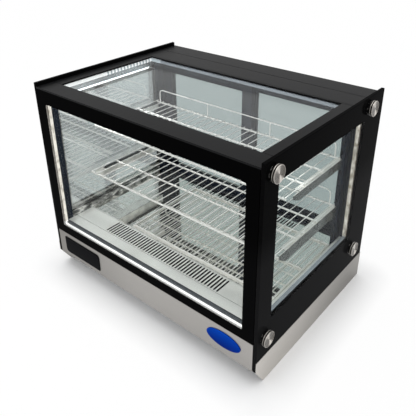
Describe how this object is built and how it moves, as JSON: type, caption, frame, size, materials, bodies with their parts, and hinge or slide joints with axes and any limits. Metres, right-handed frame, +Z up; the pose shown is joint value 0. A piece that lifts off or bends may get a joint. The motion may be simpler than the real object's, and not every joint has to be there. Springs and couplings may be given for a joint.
{
  "type": "countertop refrigerated display case",
  "caption": "Countertop refrigerated display case with black-bordered double glass, wire shelves, steel base skirt and two sliding doors at the rear.",
  "frame": {"origin": "on the counter, under the middle of the case", "axes": "+X to the right as seen from the customer's side, +Y from the front to the rear doors, +Z up"},
  "size_m": [0.838, 0.588, 0.652],
  "materials": {
    "brushed_steel": "brushed, warm grey",
    "deck_steel": "bright stainless",
    "base_steel": "galvanised grey",
    "dark_cover": "dark grey powder coat",
    "black_frame": "satin black",
    "post_lining": "dark grey moulded",
    "clear_glass": "clear, polished",
    "foam_body": "pale grey, foam filled",
    "spacer_alloy": "bright",
    "light_alloy": "satin with a pale diffuser",
    "door_alloy": "dark anodised",
    "upright_steel": "slotted stainless",
    "bracket_steel": "pressed stainless",
    "wire_chrome": "bright plated wire",
    "knob_steel": "turned satin stainless",
    "foot_rubber": "black",
    "coil_alloy": "finned",
    "compressor_paint": "black enamel",
    "tube_copper": "copper tube",
    "fan_plastic": "black moulded",
    "bezel_plastic": "black moulded, fine grain",
    "display_lens": "dark red lens",
    "button_plastic": "grey moulded",
    "rocker_plastic": "black rocker"
  },
  "bodies": {
    "case": {"base_pan": "base_steel", "front_panel": "brushed_steel", "left_skirt": "brushed_steel", "right_skirt": "brushed_steel", "feet": "foot_rubber", "insulated_floor": "foam_body", "deck_panel": "deck_steel", "rear_panel": "dark_cover", "left_side_glass": "clear_glass", "right_side_glass": "clear_glass", "left_inner_pane": "clear_glass", "right_inner_pane": "clear_glass", "front_glass": "clear_glass", "front_inner_pane": "clear_glass", "top_glass": "clear_glass", "top_inner_pane": "clear_glass", "spacer_bars": "spacer_alloy", "corner_posts": "post_lining", "door_jambs": "post_lining", "top_frame": "dark_cover", "top_cover": "dark_cover", "door_header": "post_lining", "light_bars": "light_alloy", "door_track_top": "door_alloy", "door_track_bottom": "door_alloy", "left_upright": "upright_steel", "right_upright": "upright_steel", "upper_left_bracket": "bracket_steel", "upper_right_bracket": "bracket_steel", "middle_left_bracket": "bracket_steel", "middle_right_bracket": "bracket_steel", "upper_shelf": "wire_chrome", "upper_shelf_guard": "wire_chrome", "middle_shelf": "wire_chrome", "middle_shelf_guard": "wire_chrome", "floor_rack": "wire_chrome", "standoff_knobs": "knob_steel", "standoff_studs": "knob_steel", "evaporator_coil": "coil_alloy", "evaporator_fan_frame": "fan_plastic", "condenser_coil": "coil_alloy", "condenser_fan_frame": "fan_plastic", "compressor": "compressor_paint", "refrigerant_lines": "tube_copper", "control_bezel": "bezel_plastic", "display_window": "display_lens", "power_inlet": "bezel_plastic"},
    "left_door": {"left_door_frame": "door_alloy", "left_door_glass": "clear_glass"},
    "right_door": {"right_door_frame": "door_alloy", "right_door_glass": "clear_glass"},
    "evaporator_fan": {"evaporator_fan_blade": "fan_plastic"},
    "condenser_fan": {"condenser_fan_blade": "fan_plastic"},
    "up_button": {"button_up": "button_plastic"},
    "down_button": {"button_down": "button_plastic"},
    "set_button": {"button_set": "button_plastic"},
    "lamp_button": {"button_lamp": "button_plastic"},
    "rocker_switch": {"power_switch": "rocker_plastic"}
  },
  "joints": [
    {"name": "left_door_slide", "type": "slide", "parent": "case", "child": "left_door", "axis": [1, 0, 0], "range_m": [0, 0.35]},
    {"name": "right_door_slide", "type": "slide", "parent": "case", "child": "right_door", "axis": [1, 0, 0], "range_m": [-0.35, 0]},
    {"name": "evaporator_fan_spin", "type": "hinge", "parent": "case", "child": "evaporator_fan", "pos_m": [-0.19, -0.039, 0.1225], "axis": [0, 1, 0], "continuous": true},
    {"name": "condenser_fan_spin", "type": "hinge", "parent": "case", "child": "condenser_fan", "pos_m": [0.2, 0.176, 0.1025], "axis": [0, 1, 0], "continuous": true},
    {"name": "up_button_press", "type": "slide", "parent": "case", "child": "up_button", "axis": [0, -1, 0], "range_m": [0, 0.0015], "stiffness_N_per_m": 400},
    {"name": "down_button_press", "type": "slide", "parent": "case", "child": "down_button", "axis": [0, -1, 0], "range_m": [0, 0.0015], "stiffness_N_per_m": 400},
    {"name": "set_button_press", "type": "slide", "parent": "case", "child": "set_button", "axis": [0, -1, 0], "range_m": [0, 0.0015], "stiffness_N_per_m": 400},
    {"name": "lamp_button_press", "type": "slide", "parent": "case", "child": "lamp_button", "axis": [0, -1, 0], "range_m": [0, 0.0015], "stiffness_N_per_m": 400},
    {"name": "rocker_switch_tilt", "type": "hinge", "parent": "case", "child": "rocker_switch", "pos_m": [-0.074, 0.2845, 0.112], "axis": [1, 0, 0], "range_deg": [-14, 0]}
  ]
}
